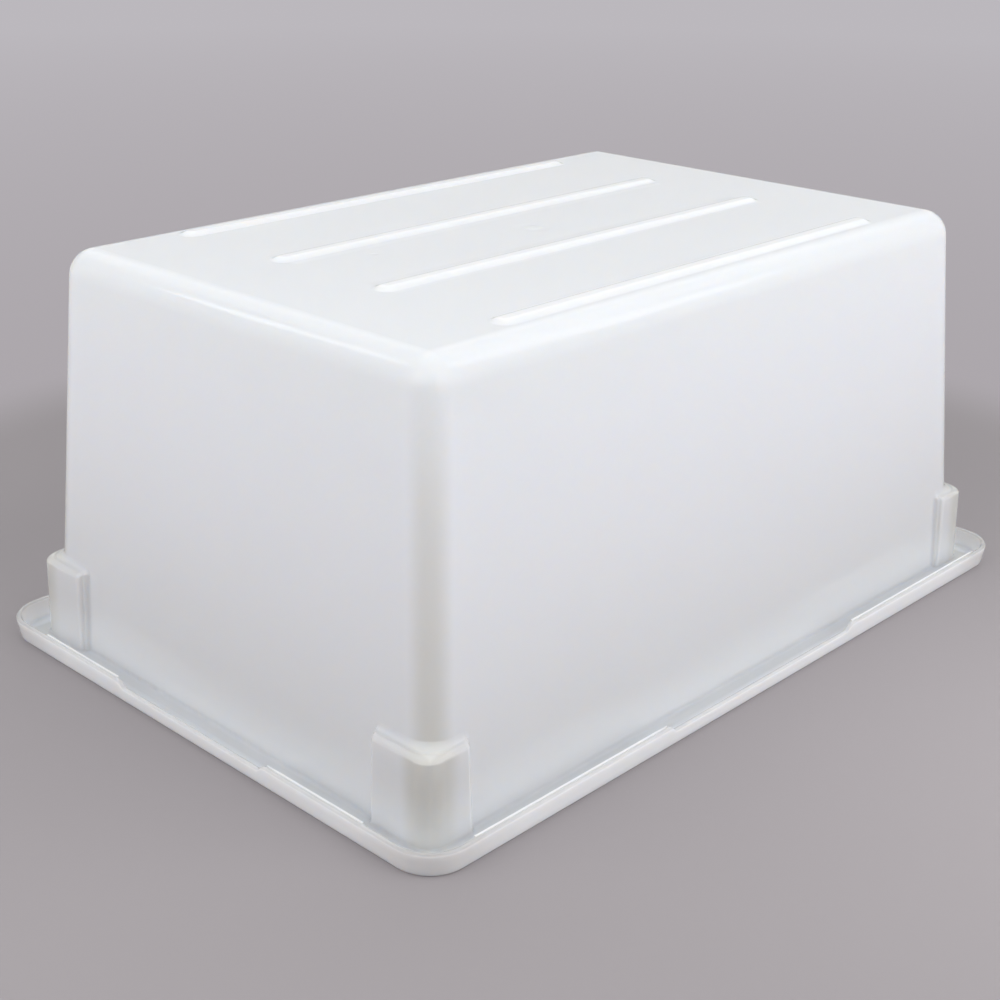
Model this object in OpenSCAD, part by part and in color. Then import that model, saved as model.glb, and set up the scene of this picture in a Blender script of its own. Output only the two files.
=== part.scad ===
// Food storage box: one open moulding with a flanged rim, corner lugs and a ribbed base.
// It is drawn as it stands in the photograph, upside down on its rim.
// Millimetres, X along the length, Y across, Z up. The rim stands on z = 0, centred on the origin,
// the opening faces down and the base is on top.

/* [Box] */
// Length over the lip of the rim
rim_l = 660; // [520:5:760]
// Width over the lip of the rim
rim_w = 466; // [360:2:560]
// Height from the rim to the flat of the base, without the base ribs
box_h = 295.5; // [150:0.5:380]
// Thickness of the walls, the base and the lugs
wall_t = 3.2; // [2:0.1:4.5]
// Lean of the four walls from upright, in degrees
wall_draft = 4.3; // [2:0.1:6]
// Outer radius of the upright corners and of the edges of the base
corner_r = 20; // [12:1:30]

/* [Rim] */
// Width of the ledge, from the outside of the lip to the foot of the wall
ledge_w = 26.4; // [24:0.1:36]
// Thickness of the ledge
ledge_t = 3; // [2:0.2:5]
// Outer radius of the corners of the lip
rim_r = 30; // [22:1:40]
// Height of the lip
lip_h = 17.5; // [12:0.5:26]
// Thickness of the lip
lip_t = 4; // [3:0.2:6]
// How much further out the top of the lip stands than its foot
lip_lean = 2.4; // [0:0.2:5]
// Radius of the outer edge at the foot of the lip
foot_r = 3; // [1:0.2:4]

/* [Stretches of the lip] */
// How much lower the lip is in the middle of each side
dip_d = 4.5; // [1:0.5:6]
// Length of the lowered stretch of the long sides
dip_l = 202; // [80:2:300]
// Length of the lowered stretch of the short sides
dip_w = 146; // [60:2:180]
// Length of the slope at each end of a lowered stretch
dip_ramp = 8; // [2:1:20]
// Width of the bead along the inner edge of the lip
bead_w = 1.6; // [1:0.1:2.4]
// Height of the bead over the crown of the lip
bead_h = 1.2; // [0.4:0.1:2.4]
// Bare lip beside each corner of the long sides, from the end of the rim to the bead
bare_l = 40; // [34:1:80]
// Bare lip beside each corner of the short sides, from the side of the rim to the bead
bare_w = 60; // [34:1:80]

/* [Corner lugs] */
// Height of the lugs over the rim plane
lug_h = 65; // [40:1:100]
// How far a lug's top stands out of the end wall
lug_proud_end = 8.2; // [5:0.2:10]
// How far a lug's top stands out of the side wall
lug_proud_side = 6.6; // [5:0.2:10]
// Length of a lug along the long side, from its own corner
lug_l = 36.5; // [28:0.5:60]
// Length of a lug along the short side, from its own corner
lug_w = 51.5; // [28:0.5:80]
// Radius of a lug's upright corner at its top
lug_r = 13; // [9:0.5:20]
// Lean of the faces of the lugs from upright, in degrees
lug_draft = 1.8; // [0:0.1:3]
// Chamfer around a lug's top
lug_edge = 2.4; // [0.8:0.2:4]

/* [Base] */
// Number of ribs across the base
rib_count = 4; // [2:1:4]
// Distance from the middle of the outermost ribs to the long edges of the base
rib_side = 30; // [24:0.5:60]
// Distance from the ends of the ribs to the short edges of the base
rib_end = 81; // [30:1:120]
// Width of a rib at the base
rib_w = 12; // [8:0.5:18]
// Height of a rib over the base
rib_h = 2.4; // [1:0.1:3]
// Width of the flat along the crown of a rib
crown_w = 4; // [2:0.5:6]
// Width of the shallow recess around the gate mark
recess_d = 30; // [16:1:50]
// Depth of that recess
recess_h = 0.7; // [0.2:0.1:1.2]
// Width of the gate mark
gate_d = 15; // [6:0.5:15]
// Height of the gate mark over the floor of its recess
gate_h = 0.5; // [0.2:0.1:1]
// Width of the small round pin mark
pin_d = 7; // [3:0.5:12]
// Depth of the pin mark
pin_h = 0.4; // [0.2:0.1:1]
// Distance of the pin mark from the gate mark, along the box
pin_x = 137; // [40:1:160]
// Distance of the pin mark from the middle line of the box
pin_y = 20; // [0:1:30]

/* [Hidden] */
$fn = 48;
// Cuts run past the surfaces that they open by this much
overrun = 5;
// Run over rise of the walls, and the factor from their thickness to its width along the ground
wall_slope = tan(wall_draft);
wall_slant = 1 / cos(wall_draft);
// Half sizes of the outside of the walls where they meet the rim plane
foot_l = rim_l / 2 - ledge_w;
foot_w = rim_w / 2 - ledge_w;
// Half sizes of the base, and the length and the spacing of its ribs
base_l = foot_l - wall_slope * box_h;
base_w = foot_w - wall_slope * box_h;
rib_l = 2 * (base_l - rib_end);
rib_pitch = 2 * (base_w - rib_side) / (rib_count - 1);
// Half sizes over the tops of the lugs, and the spread of their faces from the top to the rim plane
lug_top_l = foot_l - wall_slope * lug_h + lug_proud_end;
lug_top_w = foot_w - wall_slope * lug_h + lug_proud_side;
lug_spread = tan(lug_draft) * lug_h;
// Radius of the foot of the lip on its inner side, which is where the ledge starts
ledge_r = rim_r - lip_lean - lip_t;
// Radius of the crown of the lip
crown_r = lip_t / 2;
// Radius of the round that a rib is cut from, and the depth of its middle under the rib's crown
rib_r = rib_round(rib_w / 2, crown_w / 2, rib_h);
rib_axis = sqrt(pow(rib_r, 2) - pow(crown_w / 2, 2));

// Radius of a circle with one chord of half width a and another of half width b, a height h apart
function rib_round(a, b, h) = sqrt(b * b + pow((a * a - b * b + h * h) / (2 * h), 2));

// Points of an arc around a centre, from one angle to another
function arc(x, y, r, from, to, steps = 6) =
    [for (i = [0:steps]) let (a = from + (to - from) * i / steps) [x + r * cos(a), y + r * sin(a)]];

// Copies the children into the four quarters of the plan
module quarters() {
    for (sx = [-1, 1], sy = [-1, 1])
        mirror([sx < 0 ? 1 : 0, 0, 0])
            mirror([0, sy < 0 ? 1 : 0, 0])
                children();
}

// A ball whose facets reach its poles and its equator
module ball(r) {
    rotate_extrude()
        intersection() {
            circle(r);
            translate([0, -r]) square([r, 2 * r]);
        }
}

// A rounded rectangle given by its half sizes
module round_rect(half_l, half_w, r) {
    hull()
        for (x = [r - half_l, half_l - r], y = [r - half_w, half_w - r])
            translate([x, y]) circle(r);
}

// A block with leaning walls and rounded corners and top edges, standing on z = 0.
// Its half sizes are those of its walls at z = 0.
module leaning_block(half_l, half_w, h, r) {
    intersection() {
        hull()
            for (sx = [-1, 1], sy = [-1, 1], z = [-r, h - r])
                translate([
                    sx * (half_l - wall_slope * z - r * wall_slant),
                    sy * (half_w - wall_slope * z - r * wall_slant),
                    z
                ])
                    ball(r);
        translate([-half_l, -half_w, 0]) cube([2 * half_l, 2 * half_w, h]);
    }
}

// The four corner lugs, drawn in by inset on every face
module lug_blocks(inset) {
    top = lug_h - inset;
    r_top = lug_r - inset;
    intersection() {
        hull()
            for (x = [lug_r - lug_top_l, lug_top_l - lug_r], y = [lug_r - lug_top_w, lug_top_w - lug_r])
                translate([x, y, 0]) {
                    cylinder(h = top - lug_edge, r1 = r_top + lug_spread, r2 = r_top);
                    translate([0, 0, top - lug_edge]) cylinder(h = lug_edge, r1 = r_top, r2 = r_top - lug_edge);
                }
        quarters()
            translate([lug_top_l - lug_l + inset, lug_top_w - lug_w + inset, 0])
                cube([lug_l + lug_spread, lug_w + lug_spread, top]);
    }
}

// Section of the lip, with its outer face at x = rim_r and its foot on y = 0. It takes in a strip of
// the ledge, which the ledge's own plate overlaps.
module lip_section() {
    foot_x = rim_r - lip_lean;
    crown_y = lip_h - crown_r;
    foot_round = min(foot_r, lip_t);
    polygon(concat(
        [[ledge_r - lip_t, 0]],
        arc(foot_x - foot_round, foot_round, foot_round, -90, 0),
        arc(rim_r - crown_r, crown_y, crown_r, 0, 180),
        [[ledge_r, ledge_t], [ledge_r - lip_t, ledge_t]]
    ));
}

// Section of the bead on the inner edge of the crown
module bead_section() {
    bead_x = rim_r - lip_t;
    bead_r = bead_w / 2;
    polygon(concat(
        [[bead_x, lip_h - crown_r], [bead_x + bead_w, lip_h - crown_r]],
        arc(bead_x + bead_r, lip_h + bead_h - bead_r, bead_r, 0, 180)
    ));
}

// Carries a section of the rim along one straight side: the section runs from along to along + run,
// and reach is the half size of the rim across that side
module along_side(reach, along, run) {
    translate([along, -(reach - rim_r), 0])
        rotate([90, 0, 90])
            mirror([1, 0, 0])
                linear_extrude(run) children();
}

// Turns children that are drawn for the front to both long sides
module both_long() {
    for (a = [0, 180])
        rotate([0, 0, a]) children();
}

// Turns children that are drawn for the front to both short sides
module both_short() {
    for (a = [90, 270])
        rotate([0, 0, a]) children();
}

// The lip around the rim, straight sides and corners
module lip() {
    run_l = rim_l - 2 * rim_r;
    run_w = rim_w - 2 * rim_r;
    both_long() along_side(rim_w / 2, -run_l / 2, run_l) lip_section();
    both_short() along_side(rim_l / 2, -run_w / 2, run_w) lip_section();
    quarters()
        translate([run_l / 2, run_w / 2, 0])
            rotate_extrude(angle = 90) lip_section();
}

// The beads of one side, on both halves of it
module side_beads(reach, half, bare, dip) {
    run = half - bare - dip / 2 - dip_ramp;
    for (start = [bare - half, dip / 2 + dip_ramp])
        along_side(reach, start, run) bead_section();
}

module beads() {
    both_long() side_beads(rim_w / 2, rim_l / 2, bare_l, dip_l);
    both_short() side_beads(rim_l / 2, rim_w / 2, bare_w, dip_w);
}

// The cut that lowers the middle of one side
module side_dip(reach, dip) {
    low = lip_h - dip_d;
    high = lip_h + overrun;
    wide = dip / 2 + dip_ramp * (high - low) / dip_d;
    translate([0, lip_t + lip_lean + overrun - reach, 0])
        rotate([90, 0, 0])
            linear_extrude(lip_t + lip_lean + 2 * overrun)
                polygon([[-wide, high], [-dip / 2, low], [dip / 2, low], [wide, high]]);
}

module dips() {
    both_long() side_dip(rim_w / 2, dip_l);
    both_short() side_dip(rim_l / 2, dip_w);
}

// The ledge between the walls and the lip, as a plate that the hollow is cut from
module ledge() {
    inset = rim_r - ledge_r;
    linear_extrude(ledge_t) round_rect(rim_l / 2 - inset, rim_w / 2 - inset, ledge_r);
}

// One rib, round in section and at its ends, with a flat crown, rooted in the thickness of the base
module rib() {
    reach = rib_l / 2 - rib_w / 2;
    intersection() {
        translate([0, 0, rib_h - rib_axis]) {
            rotate([0, 90, 0]) cylinder(h = 2 * reach, r = rib_r, center = true);
            for (x = [-reach, reach])
                translate([x, 0, 0]) ball(rib_r);
        }
        translate([-rib_l / 2, -rib_r, -wall_t / 2]) cube([rib_l, 2 * rib_r, wall_t / 2 + rib_h]);
    }
}

module ribs() {
    for (i = [0:rib_count - 1])
        translate([0, (i - (rib_count - 1) / 2) * rib_pitch, box_h]) rib();
}

// The recess around the gate mark and the pin mark, cut into the base, with the gate mark left standing
module base_marks() {
    translate([0, 0, box_h - recess_h])
        difference() {
            cylinder(h = recess_h + overrun, d = recess_d);
            cylinder(h = gate_h, d = gate_d);
        }
    translate([-pin_x, pin_y, box_h - pin_h]) cylinder(h = pin_h + overrun, d = pin_d);
}

// The hollow of the box and the pockets behind the lugs, open to below
module hollow() {
    drop = wall_t * wall_slant;
    leaning_block(foot_l - drop, foot_w - drop, box_h - wall_t, corner_r - wall_t);
    lug_blocks(wall_t);
}

module box_body() {
    color([0.93, 0.94, 0.95])
        difference() {
            union() {
                leaning_block(foot_l, foot_w, box_h, corner_r);
                lug_blocks(0);
                ledge();
                lip();
                beads();
                ribs();
            }
            hollow();
            dips();
            base_marks();
        }
}

box_body();
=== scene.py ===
"""Builds the looks of a food storage box around its packed solid, and a small studio to show it in.

The box stands upside down on its rim, as it was photographed. It is one moulding of milky plastic:
a ribbed base on top, four drafted walls, a hollow lug at each corner, and a ledge with a lip.
One quarter of its skin is made level by level, outside and inside, and Geometry Nodes turn that
quarter into the whole box and raise the ribs and marks of the base. Lengths are in metres.
"""

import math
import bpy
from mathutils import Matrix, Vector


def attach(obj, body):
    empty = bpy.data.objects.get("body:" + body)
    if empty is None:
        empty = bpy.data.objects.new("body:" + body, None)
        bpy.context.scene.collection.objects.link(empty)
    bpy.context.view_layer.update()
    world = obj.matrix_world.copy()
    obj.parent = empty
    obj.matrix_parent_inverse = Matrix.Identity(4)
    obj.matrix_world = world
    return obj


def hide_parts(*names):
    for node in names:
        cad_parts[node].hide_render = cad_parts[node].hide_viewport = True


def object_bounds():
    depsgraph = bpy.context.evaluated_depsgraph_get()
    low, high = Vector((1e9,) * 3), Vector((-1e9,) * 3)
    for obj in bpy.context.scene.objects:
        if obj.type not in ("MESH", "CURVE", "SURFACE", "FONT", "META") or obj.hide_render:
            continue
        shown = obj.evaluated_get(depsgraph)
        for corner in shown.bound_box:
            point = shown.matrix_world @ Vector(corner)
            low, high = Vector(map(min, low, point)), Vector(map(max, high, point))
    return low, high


bl_info = {
    "name": "Food Storage Box",
    "version": (1, 0, 0),
    "blender": (4, 5, 0),
    "location": "3D View > Sidebar > Food Box",
    "description": "Makes a moulded food storage box and the studio that shows it",
    "category": "Object",
}

import bmesh
import bpy
from mathutils import Matrix, Vector

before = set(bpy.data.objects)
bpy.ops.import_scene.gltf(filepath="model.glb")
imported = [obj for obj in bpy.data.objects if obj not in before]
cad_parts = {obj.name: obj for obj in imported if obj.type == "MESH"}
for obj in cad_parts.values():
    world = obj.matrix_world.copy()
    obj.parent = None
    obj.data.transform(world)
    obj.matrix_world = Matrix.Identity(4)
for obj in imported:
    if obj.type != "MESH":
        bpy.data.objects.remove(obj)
CAD_LOW, CAD_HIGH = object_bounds()

NODE = "box_body"
BODY = "root"
MM = 0.001
BOX_MIDDLE = (CAD_LOW + CAD_HIGH) / 2
# Points of the skin closer than this become one
WELD = 0.02 * MM
# Points no further than this below the base's level are raised with its ribs and marks
BASE_SLACK = 0.2 * MM
# Steps around the upright corners
CORNER_ARC = 12
# Steps over the round of the base's edge, outside and inside
EDGE_ARC = 12
INNER_EDGE_ARC = 8
# Steps over the rounds of the lugs, the ledge, the rim's foot and the inner edge of the mouth
LUG_ARC = 4
LEDGE_ARC = 4
FOOT_ARC = 5
MOUTH_ARC = 3
# Steps over the half round of the bead, and over the lip's crown beyond it
BEAD_ARC = 6
# Steps up the straight stretches of the walls, outside and inside
WALL_STEPS = 4
INNER_WALL_STEPS = 3
# Steps between stations: across the recess and the ribs, across the pin mark and slopes, and elsewhere
CLOSE_PITCH = 1.3 * MM
SLOPE_PITCH = 1.4 * MM
PLAIN_PITCH = 12 * MM
# Stations closer than this become one
LEAST_STEP = 0.18 * MM
# How far the close stations go on beyond a form
MARGIN = 1 * MM
# Levels over a lug's top stay at least this much apart
LEVEL_GAP = 0.15 * MM
# From the slope of the lowered lip to the bead, and the length over which the bead rises
BEAD_GAP = 1.3 * MM
BEAD_RISE = 0.4 * MM


def length_setting(name, description, millimetres):
    """A length that a user may change, given in millimetres and kept in metres."""
    return bpy.props.FloatProperty(
        name=name, description=description, default=millimetres * MM, min=0.0, precision=4, unit="LENGTH"
    )


def colour_setting(name, description, default):
    """A plain colour that a user may change."""
    return bpy.props.FloatVectorProperty(
        name=name, description=description, default=default, size=3, min=0.0, max=1.0, subtype="COLOR"
    )


def share_setting(name, description, default):
    """A number from 0 to 1 that a user may change."""
    return bpy.props.FloatProperty(
        name=name, description=description, default=default, min=0.0, max=1.0, subtype="FACTOR"
    )


def power_setting(name, lamp, default):
    """The power of a lamp in watts."""
    return bpy.props.FloatProperty(
        name=name, description=f"Power of the {lamp}", default=default, min=0.0, unit="POWER"
    )


class BoxSizes(bpy.types.PropertyGroup):
    """Sizes of the walls and the base."""

    rim_length: bpy.props.FloatProperty(
        name="Rim length", description="Length over the lip", default=CAD_HIGH.x - CAD_LOW.x, unit="LENGTH"
    )
    rim_width: bpy.props.FloatProperty(
        name="Rim width", description="Width over the lip", default=CAD_HIGH.y - CAD_LOW.y, unit="LENGTH"
    )
    full_height: bpy.props.FloatProperty(
        name="Height", description="Height with the base ribs", default=CAD_HIGH.z - CAD_LOW.z, unit="LENGTH"
    )
    wall: length_setting("Wall", "Thickness of the walls and the base", 3.2)
    draft: bpy.props.FloatProperty(
        name="Draft", description="Lean of the walls", default=math.radians(4.3), subtype="ANGLE"
    )
    corner_round: length_setting("Corner round", "Outer radius of the corners and of the base's edge", 20)
    rib_count: bpy.props.IntProperty(name="Ribs", description="Number of ribs on the base", default=4, min=2)
    rib_side: length_setting("Rib side", "From the outermost ribs to the long edges of the base", 30)
    rib_end: length_setting("Rib end", "From the ends of the ribs to the short edges of the base", 81)
    rib_width: length_setting("Rib width", "Width of a rib at its foot", 20)
    rib_height: length_setting("Rib height", "Height of a rib over the base", 2.4)
    rib_crown: length_setting("Rib crown", "Width of the level crown of a rib", 6)
    recess_width: length_setting("Recess", "Width of the shallow recess around the gate mark", 30)
    recess_edge: length_setting("Recess edge", "Width of the slope round that recess", 6)
    recess_depth: length_setting("Recess depth", "Depth of that recess", 0.1)
    gate_width: length_setting("Gate mark", "Width of the gate mark", 15)
    gate_edge: length_setting("Gate edge", "Width of the slope round each moulding mark", 5)
    gate_height: length_setting("Gate height", "Height of the gate mark over its recess", 0.25)
    dimple_width: length_setting("Dimple", "Width of the dimple in the gate mark", 6)
    dimple_depth: length_setting("Dimple depth", "Depth of that dimple", 0.05)
    pin_width: length_setting("Pin mark", "Width of the round pin mark", 7)
    pin_depth: length_setting("Pin depth", "Depth of the pin mark", 0.4)
    pin_along: length_setting("Pin along", "From the gate mark to the pin mark along the box", 137)
    pin_across: length_setting("Pin across", "From the middle line to the pin mark", 20)


class RimSizes(bpy.types.PropertyGroup):
    """Sizes of the ledge and the lip."""

    ledge_width: length_setting("Ledge width", "From the outside of the lip to the foot of the wall", 26.4)
    ledge: length_setting("Ledge", "Thickness of the ledge", 3)
    round: length_setting("Rim round", "Outer radius of the rim's corners", 30)
    lip_height: length_setting("Lip height", "Height of the lip", 17.5)
    lip: length_setting("Lip", "Thickness of the lip", 4)
    lean: length_setting("Lean", "How much further out the lip's top stands than its foot", 2.4)
    foot_round: length_setting("Foot round", "Radius of the outer edge at the lip's foot", 3)
    floor_round: length_setting("Floor round", "Radius between the ledge and what stands on it", 2.2)
    mouth_round: length_setting("Mouth round", "Radius of the inner edge of the mouth", 0.8)
    dip: length_setting("Dip", "How much lower the lip is in the middle of each side", 4.5)
    dip_long: length_setting("Long dip", "Length of the lowered stretch of a long side", 202)
    dip_short: length_setting("Short dip", "Length of the lowered stretch of a short side", 146)
    dip_ramp: length_setting("Dip ramp", "Length of the slope at each end of a lowered stretch", 8)
    bead_width: length_setting("Bead width", "Width of the bead on the lip's inner edge", 1.6)
    bead_height: length_setting("Bead height", "Height of that bead over the lip", 1.2)
    bare_long: length_setting("Long bare", "Lip without a bead beside each corner of a long side", 40)
    bare_short: length_setting("Short bare", "Lip without a bead beside each corner of a short side", 60)


class LugSizes(bpy.types.PropertyGroup):
    """Sizes of the hollow corner lugs."""

    height: length_setting("Height", "Height of a lug over the rim plane", 65)
    proud_end: length_setting("Proud of the end", "How far a lug's top stands out of the end wall", 8.2)
    proud_side: length_setting("Proud of the side", "How far a lug's top stands out of the side wall", 6.6)
    long: length_setting("Along the side", "Length of a lug along the long side", 36.5)
    short: length_setting("Along the end", "Length of a lug along the short side", 51.5)
    round: length_setting("Corner round", "Radius of a lug's upright corner", 13)
    draft: bpy.props.FloatProperty(
        name="Draft", description="Lean of a lug's faces", default=math.radians(1.8), subtype="ANGLE"
    )
    top_fall: length_setting("Fall of the top", "How much lower a lug's top is at its outer edge", 0.8)
    side_lean: length_setting("Side lean", "How far a lug's narrow sides lean over", 1.6)
    inner_round: length_setting("Inner round", "Radius between a lug and the wall", 3.4)
    outer_round: length_setting("Outer round", "Radius of a lug's own upright edges", 3.0)
    top_round: length_setting("Top round", "Radius of the edge round a lug's top", 3.9)


class PlasticLook(bpy.types.PropertyGroup):
    """Colours and finish of the milky plastic."""

    # Painted shade: the walls grow darker from the base colour at the base down to the mouth colour at the
    # rim
    base_colour: colour_setting("Base colour", "Colour where plastic lies behind plastic", (0.96, 0.955, 1.0))
    mouth_shade_colour: colour_setting("Mouth colour", "Colour by the see-through mouth", (0.622, 0.63, 0.645))
    # Painted light: the lip and the ledge are lighter than the walls by the mouth
    lip_colour: colour_setting("Lip colour", "Colour of the ledge and the lip", (0.785, 0.797, 0.822))
    # Painted shade: a warm tint where shade falls in the upright corners
    corner_shade_tint: colour_setting("Corner tint", "Tint of the upright corners", (1.0, 0.99, 0.94))
    # Painted shade: the lip's crown, which faces up, is darker
    crown_painted_shade: share_setting("Crown shade", "How much less light the lip's crown gives back", 0.26)
    # Painted shade: the lugs are darker than the walls
    lug_painted_shade: share_setting("Lug shade", "How much less light the hollow lugs give back", 0.04)
    # Painted shade: the lugs' tops, which face up, are darker
    lug_top_painted_shade: share_setting("Lug top shade", "How much less light the lugs' tops give back", 0.07)
    # Painted shade: the lip is darker near its corners
    lip_corner_painted_shade: share_setting("Lip corner shade", "How much less light the lip's corners give back", 0.23)
    # Painted shade: the upright corners are darker low down
    low_corner_painted_shade: share_setting("Low corner shade", "How much darker the corners are low down", 0.15)
    # Painted light: the walls' foot above the ledge takes on the lip's lighter colour, where shade falls by
    # the lip
    foot_light_share: share_setting("Foot share", "How much of the lip's colour the walls' foot takes on", 0.3)
    # The ribs are whiter where the plastic is thicker, with painted light over the shade at their foot; on
    # the bead the same colour is a painted highlight
    thick_and_highlight_colour: colour_setting("Thick colour", "Colour of the thicker ribs and bead", (0.94, 0.942, 0.95))
    # Painted light: the gate mark is lighter, over the shade of its slopes
    gate_light_colour: colour_setting("Gate colour", "Colour of the gate mark, the thickest part", (1.0, 1.0, 1.0))
    cloud_shade: share_setting("Cloud shade", "How much darker the denser clouds are", 0.02)
    scatter_depth: length_setting("Scatter depth", "How deep light spreads in the plastic", 10)
    see_through: share_setting("See-through", "How much lamp light each skin of a wall lets through", 0.8)
    roughness: share_setting("Roughness", "Roughness of the satin skin", 0.12)


class StudioLook(bpy.types.PropertyGroup):
    """Lamps, floor and camera."""

    floor_colour: colour_setting("Floor colour", "Colour of the paper floor", (0.355, 0.331, 0.343))
    pool_place: bpy.props.FloatVectorProperty(
        name="Light pool",
        description="Where the paper is lightest",
        default=(0.1, -0.4, 0.0),
        subtype="XYZ",
        unit="LENGTH",
    )
    pool_reach: length_setting("Pool reach", "How far that lighter part reaches", 400)
    pool_gain: share_setting("Pool gain", "How much lighter the paper is there", 0.14)
    sweep_colour: colour_setting("Sweep colour", "Tone of the paper where it rises", (0.415, 0.388, 0.412))
    far_colour: colour_setting("Far colour", "Tone of the paper far away", (0.50, 0.48, 0.51))
    sweep_start: length_setting("Sweep start", "Where the paper starts to rise, from the middle", 600)
    sweep_end: length_setting("Sweep end", "Where the paper has risen", 760)
    sky_colour: colour_setting("Sky colour", "Colour of the even light from all sides", (1.0, 1.0, 1.0))
    sky_strength: bpy.props.FloatProperty(
        name="Sky strength", description="Strength of the even light", default=0.26, min=0.0
    )
    left_power: power_setting("Left light", "softbox beside the short side", 18.3)
    left_fill_power: power_setting("Left fill", "softbox between the left light and the camera", 3.9)
    right_power: power_setting("Right light", "softbox beside the long side", 26.0)
    right_fill_power: power_setting("Right fill", "softbox between the right light and the camera", 2.4)
    top_power: power_setting("Top light", "softbox above and behind", 10.4)
    back_power: power_setting("Back light", "wide softbox behind", 6.0)
    left_edge_power: power_setting("Left edge light", "light that draws the short edge of the base", 0.9)
    right_edge_power: power_setting("Right edge light", "light that draws the long edge of the base", 1.4)
    camera_place: bpy.props.FloatVectorProperty(
        name="Camera place",
        description="Where the camera stands",
        default=(-0.867, -0.8013, 0.5662),
        subtype="XYZ",
        unit="LENGTH",
    )
    camera_turn: bpy.props.FloatProperty(
        name="Turn", description="Turn from +Y towards +X", default=math.radians(46.179), subtype="ANGLE"
    )
    camera_tilt: bpy.props.FloatProperty(
        name="Tilt", description="Tilt down from level", default=math.radians(22.389), subtype="ANGLE"
    )
    camera_roll: bpy.props.FloatProperty(
        name="Roll", description="Roll about the view line", default=math.radians(0.588), subtype="ANGLE"
    )
    camera_lens: bpy.props.FloatProperty(
        name="Lens", description="Focal length on a 36 mm sensor", default=58.89, unit="CAMERA"
    )


def steps_after(start, end, steps):
    """Even steps from start to end, without the start itself."""
    return [start + (end - start) * i / steps for i in range(1, steps + 1)]


def arc(start, end, steps):
    """Angles in radians, in even steps from start to end degrees."""
    return [math.radians(a) for a in [start] + steps_after(start, end, steps)]


def spread(marks, pitch):
    """The marks in order, with even steps of at most pitch between them."""
    places = sorted(set(round(m, 7) for m in marks))
    out = [places[0]]
    for low, high in zip(places, places[1:]):
        steps = max(1, math.ceil((high - low) / pitch - 1e-6))
        out += steps_after(low, high, steps)
    return out


def between(middle, reach, pitch):
    """Marks from middle - reach to middle + reach, one every pitch or so."""
    steps = max(2, math.ceil(2 * reach / pitch))
    return [middle - reach + 2 * reach * i / steps for i in range(steps + 1)]


def smooth(value, start, end):
    """0 at start, 1 at end, with a smooth slope between them."""
    t = min(max((value - start) / (end - start), 0.0), 1.0)
    return t * t * (3 - 2 * t)


def look_up(line, at):
    """The height of a line of (place, height) points at a place."""
    if at <= line[0][0]:
        return line[0][1]
    for (x0, y0), (x1, y1) in zip(line, line[1:]):
        if at <= x1:
            return y0 + (y1 - y0) * (at - x0) / (x1 - x0)
    return line[-1][1]


def rounded_step(rise, inner, outer, lean):
    """Points (run, rise share) of a step with a hollow round at its foot and a round edge at its top."""
    turns = arc(0, 90, LUG_ARC)
    foot = [(-lean / 2 + inner * (math.sin(a) - 1), inner * (1 - math.cos(a)) / rise) for a in turns]
    edge = [(lean / 2 + outer * (1 - math.cos(a)), 1 - (outer - outer * math.sin(a)) / rise) for a in turns]
    return foot + edge


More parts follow.
